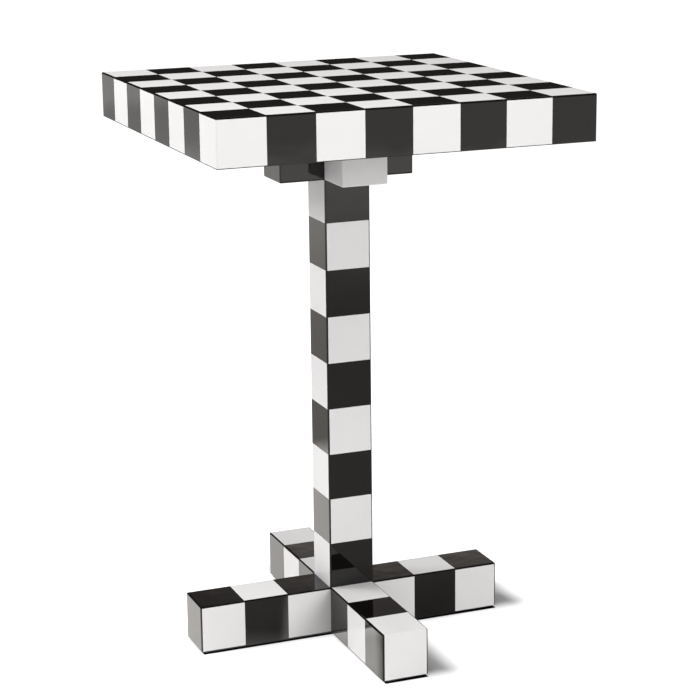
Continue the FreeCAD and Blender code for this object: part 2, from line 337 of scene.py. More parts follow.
# The borders of square k in one row of the board.
def rowEnds(k, kind):
    return (kind if k == 0 else "seam", kind if k == pattern["boardSquares"] - 1 else "seam")


def boardTiles():
    groups = {"dark_squares": [], "light_squares": [], "dark_edge_tiles": [], "light_edge_tiles": []}
    row = range(pattern["boardSquares"])
    starts = [-boardHalf + k * squareSize for k in row]
    spans = [(start, start + squareSize) for start in starts]
    for i in row:
        for j in row:
            isDark = (i + j) % 2 == 0
            edge = edgeKind(isDark)
            tile = (boardTop, spans[i], spans[j], rowEnds(i, edge), rowEnds(j, edge))
            groups[shadeOf(isDark) + "_squares"].append((tile, 2, 1, 0))
    upright = (rimBottom, boardTop)
    for turns in range(4):
        for k in row:               # the rim goes on with the pattern, so it is dark beside light
            isDark = (k + turns) % 2 == 0
            tile = (boardHalf, spans[k], upright, rowEnds(k, "arris"), ("sawn", edgeKind(isDark)))
            groups[shadeOf(isDark) + "_edge_tiles"].append((tile, 0, 1, turns))
    return groups


def postTiles(turns):
    groups = {"dark": [], "light": []}
    last = pattern["postSquares"] - 1
    rowHeight = (postTop - armTop) / pattern["postSquares"]
    for row in range(pattern["postSquares"]):
        low = postBottom if row == 0 else armTop + row * rowHeight
        high = armTop + (row + 1) * rowHeight
        kinds = ("butt" if row == 0 else "seam", "butt" if row == last else "seam")
        isDark = (row + turns) % 2 == 1
        edge = edgeKind(isDark)
        tile = (postHalf, (-postHalf, postHalf), (low, high), (edge, edge), kinds)
        groups[shadeOf(isDark)].append((tile, 0, 1, turns))
    return groups


# One arm of the foot along +X, turned into place. The outer two squares are one board
# square long, and the inner one takes what is left up to the post. The end has the colour
# of the last top.
def armTiles(turns):
    groups = {"dark": [], "light": []}
    last = pattern["armSquares"] - 1
    for n in range(pattern["armSquares"]):
        far = armReach - (last - n) * squareSize
        near = postHalf if n == 0 else far - squareSize
        capIsDark = (n + turns) % 2 == 0
        capEdge, sideEdge = edgeKind(capIsDark), edgeKind(not capIsDark)
        alongCap = ("butt" if n == 0 else "seam", "arris" if n == last else "seam")
        alongSide = ("corner" if n == 0 else "seam", sideEdge if n == last else "seam")
        cap = (armTop, (near, far), (-postHalf, postHalf), alongCap, (capEdge, capEdge))
        groups[shadeOf(capIsDark)].append((cap, 2, 1, turns))
        for way in (-1, 1):
            side = (postHalf, (armBottom, armTop), (near, far), ("sawn", sideEdge), alongSide)
            groups[shadeOf(not capIsDark)].append((side, 1, way, turns))
    end = (armReach, (-postHalf, postHalf), (armBottom, armTop), (capEdge, capEdge), ("sawn", "arris"))
    groups[shadeOf(capIsDark)].append((end, 0, 1, turns))
    return groups


# One arm of the head: its lower face, with the screw's opening, two sides and the end.
def headTiles(turns):
    along, across, upright = (postHalf, headReach), (-postHalf, postHalf), (headBottom, headTop)
    under = (-headBottom, along, across, ("butt", "arris"), ("arris", "arris"))
    side = (postHalf, upright, along, ("arris", "butt"), ("corner", "arris"))
    end = (headReach, across, upright, ("arris", "arris"), ("arris", "butt"))
    return [(under, 2, -1, turns), (side, 1, -1, turns), (side, 1, 1, turns), (end, 0, 1, turns)]


# A surface round an upright axis: row k of the grid is a ring of the given radii at the
# given heights. A solid's first and last rings shrink to a point; a ring-shaped piece
# joins its last row to its first.
def roundPiece(name, radii, heights, centre, closedProfile):
    rows, columns = radii.shape
    angle = np.linspace(0, 2 * math.pi, columns, endpoint=False)
    points = np.stack([centre[0] + radii * np.cos(angle), centre[1] + radii * np.sin(angle),
                       np.broadcast_to(heights, radii.shape)], axis=-1).reshape(-1, 3)
    numbers = np.arange(rows * columns).reshape(rows, columns)
    right = np.roll(numbers, -1, axis=1)
    if closedProfile:
        above, aboveRight = np.roll(numbers, -1, axis=0), np.roll(right, -1, axis=0)
        quads = np.stack([numbers, right, aboveRight, above], axis=-1)
    else:
        quads = np.stack([numbers[:-1], right[:-1], right[1:], numbers[1:]], axis=-1)
    quads = quads.reshape(-1, 4)
    piece = meshObject(name, points, quads.ravel(), np.full(len(quads), 4))
    return finishMesh(piece, weld=True)


thread = {
    "around": 36,
    "rowsPerTurn": 8,
    "flank": 1.25,              # slope of the wave, and how much of it the crest cuts off
    "crest": 0.125,
    "coneDepth": 1.2,           # how far the ends are turned down, in thread depths
}


# A screw thread: the radius is the full one less a wave that runs round as it climbs,
# depth * (distance from the crest, held flat at crest and root), and both ends are
# turned down by a 45 degree cone.
def threadRows(low, high, radius, pitch, depth):
    rows = int(round((high - low) / pitch * thread["rowsPerTurn"])) + 1
    z = np.linspace(low, high, rows)[:, None]
    turn = np.arange(thread["around"])[None, :] / thread["around"]
    wave = np.abs(2 * ((z / pitch - turn) % 1.0) - 1)
    radii = radius - depth * np.clip(thread["flank"] * wave - thread["crest"], 0, 1)
    cone = radius - depth * thread["coneDepth"]
    radii = np.minimum(radii, cone + (z - low))
    radii = np.minimum(radii, cone + (high - z))
    return radii, np.broadcast_to(z, radii.shape)


def capRow(height):
    return np.zeros((1, thread["around"])), np.full((1, thread["around"]), height)


# A rod with a thread on each of the given stretches, and turned down between them.
def rodPiece(name, node, stretches, pitch, depth):
    low, high = lowOf(node), highOf(node)
    radius = (high[0] - low[0]) / 2
    rows = [threadRows(*ends, radius, pitch, depth) for ends in stretches]
    rows = [capRow(low[2])] + rows + [capRow(high[2])]
    radii, heights = (np.concatenate(part) for part in zip(*rows))
    return roundPiece(name, radii, heights, (low + high) / 2, False)


stem = {"pitch": 0.00125, "threadDepth": 0.00062}


def glideStem(arm):
    node = arm + "_glide_stem"
    stretches = [(lowOf(node)[2], highOf(node)[2])]
    return rodPiece(arm + "GlideStem", node, stretches, stem["pitch"], stem["threadDepth"])


tieRod = {"pitch": 0.0015, "threadDepth": 0.0008, "threadLength": 0.045}


def tieRodPiece():
    bottom, top = lowOf("tie_rod")[2], highOf("tie_rod")[2]
    stretches = [(bottom, bottom + tieRod["threadLength"]), (top - tieRod["threadLength"], top)]
    return rodPiece("tieRod", "tie_rod", stretches, tieRod["pitch"], tieRod["threadDepth"])


# Profile points of an edge rounded from a piece's bottom up to its outside.
def roundedEdge(radius, bottom, edge, steps):
    angles = np.radians(np.linspace(0, 90, steps))
    return [(radius - edge + edge * math.sin(a), bottom + edge * (1 - math.cos(a))) for a in angles]


# A piece turned to a profile, which is a list of radius and height.
def turnedPiece(name, profile, around, centre, closedProfile):
    profile = np.array(profile)
    radii = np.broadcast_to(profile[:, :1], (len(profile), around))
    return roundPiece(name, radii, profile[:, 1:], centre, closedProfile)


pad = {
    "around": 72,
    "dish": (0.0035, 0.0042),   # radii of the sole's dish, at its bottom and its rim
    "dishDepth": 0.0003,
    "grooves": (0.0062, 0.0086),
    "grooveHalf": 0.0005,       # half of a groove's width
    "grooveDepth": 0.0004,
    "edge": 0.0008,
    "edgeSteps": 6,
    "topChamfer": 0.0005,
    "socket": 0.00405,
    "socketChamfer": 0.0004,
    "socketDepth": 0.002,
    "flatsFrom": 0.009,         # the two flats are cut outside this radius
    "leastSlant": 1e-6,         # keeps the flats' formula finite along them
}


# The foot pad's profile from the middle of its sole, out, up and back in to the socket.
# Near its rim the radius is the smaller of the round and the two spanner flats.
def glidePad(arm, turns):
    node = arm + "_glide_pad"
    low, high = lowOf(node), highOf(node)
    centre = (low + high) / 2
    spans = sorted([high[0] - low[0], high[1] - low[1]])
    flatHalf, radius = spans[0] / 2, spans[1] / 2
    sole, top = low[2], high[2]
    dished, socket = sole + pad["dishDepth"], pad["socket"]
    profile = [(0.0, dished), (pad["dish"][0], dished), (pad["dish"][1], sole)]
    for groove in pad["grooves"]:
        profile.append((groove - pad["grooveHalf"], sole))
        profile.append((groove, sole + pad["grooveDepth"]))
        profile.append((groove + pad["grooveHalf"], sole))
    profile += roundedEdge(radius, sole, pad["edge"], pad["edgeSteps"])
    profile += [(radius, top - pad["topChamfer"]), (radius - pad["topChamfer"], top),
                (socket + pad["socketChamfer"], top), (socket, top - pad["socketChamfer"]),
                (socket, top - pad["socketDepth"]), (0.0, top - pad["socketDepth"])]
    profile = np.array(profile)
    angle = np.linspace(0, 2 * math.pi, pad["around"], endpoint=False)
    towardsFlat = np.abs(np.sin(angle - turns * math.pi / 2))[None, :]
    ring = np.broadcast_to(profile[:, :1], (len(profile), pad["around"]))
    flat = (flatHalf - (radius - ring)) / np.maximum(towardsFlat, pad["leastSlant"])
    radii = np.where(ring > pad["flatsFrom"], np.minimum(ring, flat), ring)
    heights = np.broadcast_to(profile[:, 1:], radii.shape)
    return roundPiece(arm + "GlidePad", radii, heights, centre, False)


insert = {
    "around": 72,
    "bore": 0.00405,
    "sleeve": 0.006,            # radii
    "flange": 0.010,
    "flangeHeight": 0.0015,
    "chamfer": 0.0004,
    "knurl": 0.00025,           # depth of the waves on the flange's rim, and their number
    "knurls": 36,
}


# Threaded inserts: a profile loop round the sleeve and flange, with a fine wave on the
# flange's rim.
def glideInsert(name, centre, low, high):
    c, bore, sleeve, flange = (insert[k] for k in ("chamfer", "bore", "sleeve", "flange"))
    flangeTop = low + insert["flangeHeight"]
    profile = np.array([
        (bore, high), (bore, low + c), (bore + c, low), (flange - c, low), (flange, low + c),
        (flange, flangeTop), (sleeve, flangeTop), (sleeve, high - c), (sleeve - c, high)])
    angle = np.linspace(0, 2 * math.pi, insert["around"], endpoint=False)
    wave = insert["knurl"] * (1 - np.cos(insert["knurls"] * angle)) / 2
    onRim = (profile[:, :1] > flange - 0.5 * c).astype(float)
    radii = profile[:, :1] - onRim * wave[None, :]
    return roundPiece(name, radii, profile[:, 1:], centre, True)


nut = {
    "around": 72,
    "acrossFlats": 0.017,
    "height": 0.008,
    "bore": 0.00503,
    "boreChamfer": 0.0007,
    "cone": 30.0,               # degrees between the faces and the cone that trims the corners
    "coneSteps": 5,
}


# A nut's outside is the smaller of the hexagon, flat / cos(angle from the flat's middle),
# and a cone at both faces.
def nutPiece(name, bottom, centre):
    flat, halfSide = nut["acrossFlats"] / 2, math.pi / 6
    steepness = math.tan(math.radians(nut["cone"]))
    slope = (flat / math.cos(halfSide) - flat) * steepness
    top = bottom + nut["height"]
    angle = np.linspace(0, 2 * math.pi, nut["around"], endpoint=False)
    hexagon = flat / np.cos((angle + halfSide) % (2 * halfSide) - halfSide)
    bevel = nut["boreChamfer"]
    z = np.concatenate([[bottom], bottom + slope * np.linspace(0, 1, nut["coneSteps"]),
                        top - slope * np.linspace(1, 0, nut["coneSteps"]), [top]])
    rise = np.minimum(z - bottom, top - z)[:, None]
    outside = np.minimum(hexagon[None, :], flat + rise / steepness)
    outside[0] = outside[-1] = nut["bore"] + bevel
    bore = np.full((2, nut["around"]), nut["bore"])
    radii = np.concatenate([bore, outside])
    heights = np.concatenate([[top - bevel, bottom + bevel], z])[:, None]
    return roundPiece(name, radii, heights, centre, True)


washer = {
    "around": 72,
    "bore": 0.0053,
    "thickness": 0.0025,
    "burr": 0.0003,
    "roll": 0.0006,             # radius of the rolled edge
    "rollSteps": 5,
}


# A punched washer: rounded over at the outside of one face, with a fine bevel at the hole.
def washerPiece(name, bottom, radius, centre):
    top = bottom + washer["thickness"]
    burr, bore = washer["burr"], washer["bore"]
    profile = [(bore, top - burr), (bore, bottom + burr), (bore + burr, bottom)]
    profile += roundedEdge(radius, bottom, washer["roll"], washer["rollSteps"])
    profile += [(radius, top - burr), (radius - burr, top), (bore + burr, top)]
    return turnedPiece(name, profile, washer["around"], centre, True)


holePlug = {"around": 64, "dome": 0.0003, "domeSteps": 8, "bevel": 0.0005}


# A plug for a screw hole: its lower face is a shallow dome, falling off as the square of
# the distance from the middle.
def holePlugPiece(name, centre, radius, low, high):
    rim = radius - holePlug["bevel"]
    parts = np.linspace(0, 1, holePlug["domeSteps"])
    profile = [(rim * t, low + holePlug["dome"] * t * t) for t in parts]
    profile += [(radius, low + holePlug["bevel"] + holePlug["dome"]), (radius, high), (0.0, high)]
    return turnedPiece(name, profile, holePlug["around"], centre, False)


# Several finished parts in one new object.
def joined(name, parts):
    work = bmesh.new()
    for part in parts:
        work.from_mesh(part.data)
        bpy.data.objects.remove(part)
    mesh = bpy.data.meshes.new(name)
    work.to_mesh(mesh)
    work.free()
    shadeSmooth(mesh)
    piece = bpy.data.objects.new(name, mesh)
    bpy.context.scene.collection.objects.link(piece)
    return piece


# An empty material, its tree, and the object's own coordinates in it.
def newMaterial(name):
    material = bpy.data.materials.new(name)
    material.use_nodes = True
    tree = material.node_tree
    tree.nodes.clear()
    return material, tree, add(tree, "ShaderNodeTexCoord").outputs["Object"]


# Adds a node. values go to its settings, and sockets to its inputs: a number, a colour or
# another node's output.
def add(tree, kind, sockets=None, **values):
    node = tree.nodes.new(kind)
    for name, value in values.items():
        setattr(node, name, value)
    for name, value in (sockets or {}).items():
        if isinstance(value, bpy.types.NodeSocket):
            tree.links.new(value, node.inputs[name])
        else:
            node.inputs[name].default_value = value
    return node


def calc(tree, operation, *operands):
    sockets = dict(enumerate(operands))
    return add(tree, "ShaderNodeMath", sockets, operation=operation).outputs[0]


def mixColour(tree, amount, first, second):
    return add(tree, "ShaderNodeMix", {0: amount, 6: first, 7: second}, data_type="RGBA").outputs[2]


# Goes smoothly from toLow to toHigh while value goes from low to high.
def fade(tree, value, low, high, toLow, toHigh):
    sockets = {"Value": value, "From Min": low, "From Max": high, "To Min": toLow, "To Max": toHigh}
    node = add(tree, "ShaderNodeMapRange", sockets, clamp=True, interpolation_type="SMOOTHSTEP")
    return node.outputs[0]


def noise(tree, vector, scale, detail=2.0, roughness=0.5):
    sockets = {"Vector": vector, "Scale": scale, "Detail": detail, "Roughness": roughness}
    return add(tree, "ShaderNodeTexNoise", sockets).outputs[0]


# The same noise drawn out into fibres or marks by three scales of its own.
def drawnNoise(tree, vector, scales, *settings):
    mapping = add(tree, "ShaderNodeMapping", {"Vector": vector, "Scale": scales})
    return noise(tree, mapping.outputs[0], *settings)


def grey(level):
    return (level, level, level, 1.0)


# The finished surface: colour, roughness, and a bump of the given strength and height in metres.
def surface(tree, colour, roughness, relief, bump, **constants):
    bumpSockets = {"Strength": bump[0], "Distance": bump[1], "Height": relief}
    normal = add(tree, "ShaderNodeBump", bumpSockets).outputs[0]
    sockets = {"Base Color": colour, "Roughness": roughness, "Normal": normal, "Coat Normal": normal}
    sockets.update(constants)
    shader = add(tree, "ShaderNodeBsdfPrincipled", sockets)
    add(tree, "ShaderNodeOutputMaterial", {"Surface": shader.outputs[0]})


# In the finishes below a noise is its scale, detail and roughness, a span is the noise levels
# between which a layer fades in, and a bump is its strength and its height in metres.


blackLacquer = {
    "deep": (0.0032, 0.0027, 0.0024, 1.0),
    "hazy": (0.0084, 0.0073, 0.0067, 1.0),
    "worn": (0.030, 0.029, 0.028, 1.0),
    "gloss": (0.02, 0.07),
    "shader": {"IOR": 1.5},
}
whiteLacquer = {
    "deep": (0.804, 0.791, 0.786, 1.0),
    "hazy": (0.840, 0.827, 0.823, 1.0),
    "worn": (0.700, 0.690, 0.670, 1.0),
    "gloss": (0.30, 0.42),
    # matt paint under a thin clear coat
    "shader": {"Specular IOR Level": 0.0, "Coat Weight": 0.3, "Coat Roughness": 0.05, "Coat IOR": 1.5},
}
sprayed = {
    "cloud": (14.0, 5.0, 0.6),
    "fibreScales": (1600.0, 1600.0, 240.0),
    "fibre": (1.0, 3.0, 0.6),
    "depthParts": (0.45, 0.35, 0.2),    # of the fibres, the clouds and the tile's own tone
    "speck": (2600.0, 1.0),
    "speckSpan": (0.74, 0.82),
    "speckMost": 0.6,
    "wear": (90.0, 4.0, 0.7),
    "wearSpan": (0.45, 0.75),
    "wearMost": 0.5,
    "wearFrom": 0.955,          # of the way from a tile's middle to its border
    "wearRoughness": 0.12,
    "smear": (30.0, 3.0, 0.65),
    "smearSpan": (0.3, 0.75),
    "ripple": (38.0, 1.0),
    "peel": (420.0, 2.0),
    "peelPart": 0.05,
    "bump": (0.05, 0.002),
}


# Sprayed and polished lacquer: cloudy depth, a veneer's faint fibres under it, dust specks,
# dulled edges, and the slow ripple and fine peel that a sprayed coat keeps.
def lacquer(name, look):
    material, tree, place = newMaterial(name)
    tone = add(tree, "ShaderNodeAttribute", attribute_name="tone").outputs["Fac"]
    uv = add(tree, "ShaderNodeUVMap", uv_map="place").outputs[0]
    inTile = add(tree, "ShaderNodeSeparateXYZ", {0: uv})
    reach = calc(tree, "MAXIMUM", calc(tree, "ABSOLUTE", inTile.outputs[0]),
                 calc(tree, "ABSOLUTE", inTile.outputs[1]))
    fibre = drawnNoise(tree, place, sprayed["fibreScales"], *sprayed["fibre"])
    fibrePart, cloudPart, tonePart = sprayed["depthParts"]
    depth = calc(tree, "MULTIPLY", noise(tree, place, *sprayed["cloud"]), cloudPart)
    depth = calc(tree, "MULTIPLY_ADD", fibre, fibrePart, depth)
    depth = calc(tree, "MULTIPLY_ADD", tone, tonePart, depth)
    colour = mixColour(tree, depth, look["deep"], look["hazy"])
    speck = noise(tree, place, *sprayed["speck"])
    dust = fade(tree, speck, *sprayed["speckSpan"], 0.0, sprayed["speckMost"])
    colour = mixColour(tree, dust, colour, look["hazy"])
    rubbed = noise(tree, place, *sprayed["wear"])
    rubbed = fade(tree, rubbed, *sprayed["wearSpan"], 0.0, sprayed["wearMost"])
    wear = calc(tree, "MULTIPLY", fade(tree, reach, sprayed["wearFrom"], 1.0, 0.0, 1.0), rubbed)
    colour = mixColour(tree, wear, colour, look["worn"])
    gloss = fade(tree, noise(tree, place, *sprayed["smear"]), *sprayed["smearSpan"], *look["gloss"])
    gloss = calc(tree, "MULTIPLY_ADD", wear, sprayed["wearRoughness"], gloss)
    ripple, peel = noise(tree, place, *sprayed["ripple"]), noise(tree, place, *sprayed["peel"])
    relief = calc(tree, "MULTIPLY_ADD", peel, sprayed["peelPart"], ripple)
    surface(tree, colour, gloss, relief, sprayed["bump"], **look["shader"])
    return material


satinBlack = {
    "low": (0.010, 0.010, 0.011, 1.0),
    "high": (0.026, 0.025, 0.026, 1.0),
    "cloud": (11.0, 4.0, 0.6),
    "cloudSpan": (0.3, 0.7),
    "stipple": (900.0, 2.0),
    "smear": (45.0, 3.0),
    "smearSpan": (0.3, 0.7),
    "gloss": (0.32, 0.48),
    "bump": (0.25, 0.0004),
}


# Rolled satin paint on board: a stipple from the roller and a slight cast over it.
def satinPaint():
    material, tree, place = newMaterial("satinBlackPaint")
    cast = fade(tree, noise(tree, place, *satinBlack["cloud"]), *satinBlack["cloudSpan"], 0.0, 1.0)
    colour = mixColour(tree, cast, satinBlack["low"], satinBlack["high"])
    smear = noise(tree, place, *satinBlack["smear"])
    gloss = fade(tree, smear, *satinBlack["smearSpan"], *satinBlack["gloss"])
    surface(tree, colour, gloss, noise(tree, place, *satinBlack["stipple"]), satinBlack["bump"])
    return material


fibreboard = {
    "dark": (0.30, 0.205, 0.125, 1.0),
    "light": (0.56, 0.42, 0.28, 1.0),
    "fibreScales": (900.0, 900.0, 2600.0),
    "fibre": (1.0, 4.0, 0.7),
    "body": (60.0, 4.0),
    "parts": (0.7, 0.3),        # of the fibres and the body
    "span": (0.35, 0.65),
    "glossSpan": (0.3, 0.7),
    "gloss": (0.75, 0.9),
    "bump": (0.5, 0.0005),
}


# Bare fibreboard: short pale and dark fibres in a fine-grained body.
def bareBoard():
    material, tree, place = newMaterial("bareFibreboard")
    fibre = drawnNoise(tree, place, fibreboard["fibreScales"], *fibreboard["fibre"])
    body = noise(tree, place, *fibreboard["body"])
    fibrePart, bodyPart = fibreboard["parts"]
    blend = calc(tree, "MULTIPLY_ADD", fibre, fibrePart, calc(tree, "MULTIPLY", body, bodyPart))
    blend = fade(tree, blend, *fibreboard["span"], 0.0, 1.0)
    colour = mixColour(tree, blend, fibreboard["dark"], fibreboard["light"])
    gloss = fade(tree, body, *fibreboard["glossSpan"], *fibreboard["gloss"])
    surface(tree, colour, gloss, fibre, fibreboard["bump"])
    return material


zinc = {
    "bright": (0.70, 0.71, 0.72, 1.0),
    "blue": (0.52, 0.55, 0.59, 1.0),
    "dull": (0.36, 0.36, 0.35, 1.0),
    "patch": (160.0, 4.0, 0.6),
    "patchSpan": (0.35, 0.65),
    "spot": (700.0, 2.0),
    "spotSpan": (0.6, 0.72),
    "spotMost": 0.8,
    "spotRoughness": 0.25,
    "glossSpan": (0.3, 0.7),
    "gloss": (0.22, 0.36),
    "markScales": (300.0, 300.0, 6000.0),
    "mark": (1.0, 2.0),
    "bump": (0.3, 0.0001),
}


# Bright zinc plate: a bluish cast in patches, dull spots, and fine turning marks.
def zincPlate():
    material, tree, place = newMaterial("zincPlate")
    patch = noise(tree, place, *zinc["patch"])
    cast = fade(tree, patch, *zinc["patchSpan"], 0.0, 1.0)
    colour = mixColour(tree, cast, zinc["bright"], zinc["blue"])
    spot = fade(tree, noise(tree, place, *zinc["spot"]), *zinc["spotSpan"], 0.0, zinc["spotMost"])
    colour = mixColour(tree, spot, colour, zinc["dull"])
    gloss = fade(tree, patch, *zinc["glossSpan"], *zinc["gloss"])
    gloss = calc(tree, "MULTIPLY_ADD", spot, zinc["spotRoughness"], gloss)
    turning = drawnNoise(tree, place, zinc["markScales"], *zinc["mark"])
    surface(tree, colour, gloss, turning, zinc["bump"], Metallic=1.0)
    return material


nylon = {
    "low": (0.018, 0.018, 0.019, 1.0),
    "high": (0.034, 0.034, 0.035, 1.0),
    "grain": (2200.0, 3.0, 0.6),
    "scuff": (260.0, 5.0, 0.75),
    "scuffSpan": (0.55, 0.7),
    "roughness": 0.4,
    "scuffRoughness": 0.2,      # added where it is scuffed
    "bump": (0.35, 0.0002),
}


# Moulded nylon: a spark-eroded grain, and scuffs where it stands and is handled.
def mouldedNylon():
    material, tree, place = newMaterial("mouldedNylon")
    scuff = fade(tree, noise(tree, place, *nylon["scuff"]), *nylon["scuffSpan"], 0.0, 1.0)
    colour = mixColour(tree, scuff, nylon["low"], nylon["high"])
    gloss = calc(tree, "MULTIPLY_ADD", scuff, nylon["scuffRoughness"], nylon["roughness"])
    surface(tree, colour, gloss, noise(tree, place, *nylon["grain"]), nylon["bump"])
    return material


finishes = {
    "black_lacquer": lacquer("blackLacquer", blackLacquer),
    "white_lacquer": lacquer("whiteLacquer", whiteLacquer),
    "black_satin_board": satinPaint(),
    "core_board": bareBoard(),
    "zinc_steel": zincPlate(),
    "black_nylon": mouldedNylon(),
}
slotOf = {part["node"]: part["material_slot"] for part in frame["record"]["subparts"]}
for nodeName, node in frame["nodes"].items():
    for materialSlot in node.material_slots:
        materialSlot.material = finishes[slotOf[nodeName]]
print("materials made:", len(finishes))


# Each new piece takes the place of its plain node.
def dress(piece, body, node):
    slotName = slotOf[node]
    piece.data.materials.append(finishes[slotName])
    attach(piece, body)
    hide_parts(node)


# Seeds of the tiles' own tones. Each arm adds its number to the last three.
toneSeeds = {"squares": 32, "edge_tiles": 16, "post": 20, "foot": 40, "head": 60}

for group, tiles in boardTiles().items():
    shade, kind = group.split("_", 1)
    pieceName = shade + {"squares": "BoardSquares", "edge_tiles": "BoardRim"}[kind]
    dress(tileGroup(pieceName, tiles, toneSeeds[kind]), "table", "board_" + group)
for turns, arm in enumerate(arms):
    for shade, tiles in postTiles(turns).items():
        piece = tileGroup(arm + shade.capitalize() + "PostTiles", tiles, toneSeeds["post"] + turns)
        dress(piece, "table", "post_" + arm + "_" + shade + "_tiles")
    for shade, tiles in armTiles(turns).items():
        piece = tileGroup(arm + shade.capitalize() + "FootTiles", tiles, toneSeeds["foot"] + turns)
        dress(piece, "table", arm + "_arm_" + shade + "_tiles")
    piece = tileGroup(arm + "HeadTiles", headTiles(turns), toneSeeds["head"] + turns, opened=0)
    dress(piece, "table", "head_" + arm + "_cladding")
print("tiles laid")

for turns, arm in enumerate(arms):
    dress(glideStem(arm), arm + "_stem", arm + "_glide_stem")
    dress(glidePad(arm, turns), arm + "_pad", arm + "_glide_pad")

dress(tieRodPiece(), "table", "tie_rod")
rodCentre = (lowOf("tie_rod") + highOf("tie_rod")) / 2
nutBottoms = (lowOf("tie_rod_nuts")[2], highOf("tie_rod_nuts")[2] - nut["height"])
nuts = [nutPiece("nut", bottom, rodCentre) for bottom in nutBottoms]
dress(joined("tieRodNuts", nuts), "table", "tie_rod_nuts")

low, high = lowOf("tie_rod_washers"), highOf("tie_rod_washers")
washerRadius, washerCentre = (high[0] - low[0]) / 2, (low + high) / 2
washerBottoms = (low[2], high[2] - washer["thickness"])
washers = [washerPiece("washer", bottom, washerRadius, washerCentre) for bottom in washerBottoms]
dress(joined("tieRodWashers", washers), "table", "tie_rod_washers")


def armSpot(reach, turns):
    return quarterTurn(np.array([reach, 0.0, 0.0]), turns)


low, high = lowOf("glide_inserts"), highOf("glide_inserts")
insertReach = high[0] - insert["flange"]
inserts = [glideInsert("insert", armSpot(insertReach, turns), low[2], high[2]) for turns in range(4)]
dress(joined("glideInserts", inserts), "table", "glide_inserts")

for axis, shade in enumerate(("dark", "light")):     # the dark pair lies along X, the light along Y
    node = shade + "_hole_plugs"
    low, high = lowOf(node), highOf(node)
    radius = (high[1 - axis] - low[1 - axis]) / 2
    plugs = [holePlugPiece("plug", armSpot(high[axis] - radius, turns), radius, low[2], high[2])
             for turns in (axis, axis + 2)]
    dress(joined(shade + "HolePlugs", plugs), "table", node)
print("hardware made")


floor = {
    "size": 40.0,
    "gap": 0.0002,                # how far it lies under the pads
    "tooth": (300.0, 3.0),
    "toothSpan": (0.3, 0.7),
    "paper": (0.90, 0.94),        # its darkest and palest fibres
    "seenPaintedShade": 0.5,                  # painted shade: the paper the camera sees is darkened to this share, deepening its shadows
    "mirroredPaintedShade": 0.5,         # painted shade: a mirrored ray finds the paper darkened to this share anywhere
    "glow": 1.0,                  # 1 is white
    "paintedShadowShift": (0.0265, 0.019),     # painted shadow: the glow is held back in a shape that lies to the right of the arms
    "paintedShadowReach": (-0.006, 0.043),
    "paintedUnderInset": 0.002,          # painted shade under the foot, which leaves the paper light under its left edges
    "paintedUnderShift": (0.0015, -0.002),
    "paintedUnderEdge": (0.0, 0.0012),
    "mirroredTint": (1.0, 0.95, 0.88, 1.0),     # of the paper in mirrored rays
    "glowTint": (1.0, 0.973, 0.95, 1.0),        # and of what glows in them
    "paintedFarGlow": 0.69,              # painted reflection: glow that only mirrored rays find, from far off
    "farFrom": (0.0, 0.0),
    "farReach": (1.85, 3.4),
    "paintedPoolGlow": 1.3,              # painted reflection: a bright pool behind the table's left side, which only mirrored rays find
    "paintedPool": (-0.28, 0.36),
    "paintedPoolReach": (0.385, 0.49),
    "dim": (-1.75, 4.7),          # painted reflection: a dimmer patch far behind it
    "dimReach": (0.35, 0.9),
    "dimShare": 0.62,
    "paintedNookGlow": 1.45,             # painted reflection: a bright nook between the left and the front arm, which only mirrored rays find
    "nookSlope": 0.397,
    "nookEdge": (-0.122, -0.106),
    "nookSide": (-0.02, 0.0),
    "nookBack": (-0.034, -0.030),
    "nookFront": (-0.26, -0.22),
}


# Distance from a point of the floor to the foot's cross, moved by an offset and made
# smaller by an inset: the nearer of two bars, each the length of (how far past the bar's
# half sizes the point lies).
def crossDistance(tree, place, offset, inset):
    moved = add(tree, "ShaderNodeMapping", {"Vector": place, "Location": (-offset[0], -offset[1], 0.0)})
    x, y, _ = add(tree, "ShaderNodeSeparateXYZ", {0: moved.outputs[0]}).outputs
    x, y = calc(tree, "ABSOLUTE", x), calc(tree, "ABSOLUTE", y)
    bars = []
    for halfX, halfY in ((armReach, postHalf), (postHalf, armReach)):
        pastX = calc(tree, "MAXIMUM", calc(tree, "SUBTRACT", x, float(halfX) - inset), 0.0)
        pastY = calc(tree, "MAXIMUM", calc(tree, "SUBTRACT", y, float(halfY) - inset), 0.0)
        squares = calc(tree, "MULTIPLY_ADD", pastX, pastX, calc(tree, "MULTIPLY", pastY, pastY))
        bars.append(calc(tree, "SQRT", squares))
    return calc(tree, "MINIMUM", *bars)


def floorDistance(tree, place, spot):
    moved = add(tree, "ShaderNodeMapping", {"Vector": place, "Location": (-spot[0], -spot[1], 0.0)})
    return add(tree, "ShaderNodeVectorMath", {0: moved.outputs[0]}, operation="LENGTH").outputs["Value"]


# The painted reflection's nook: 1 in it, 0 outside. It lies right of a slanting line, x + slope * y, and
# between the two arms.
def paintedNookShare(tree, place):
    x, y, _ = add(tree, "ShaderNodeSeparateXYZ", {0: place}).outputs
    paintedShare = fade(tree, calc(tree, "MULTIPLY_ADD", y, floor["nookSlope"], x), *floor["nookEdge"], 0.0, 1.0)
    paintedShare = calc(tree, "MULTIPLY", paintedShare, fade(tree, x, *floor["nookSide"], 1.0, 0.0))
    paintedShare = calc(tree, "MULTIPLY", paintedShare, fade(tree, y, *floor["nookBack"], 1.0, 0.0))
    return calc(tree, "MULTIPLY", paintedShare, fade(tree, y, *floor["nookFront"], 0.0, 1.0))
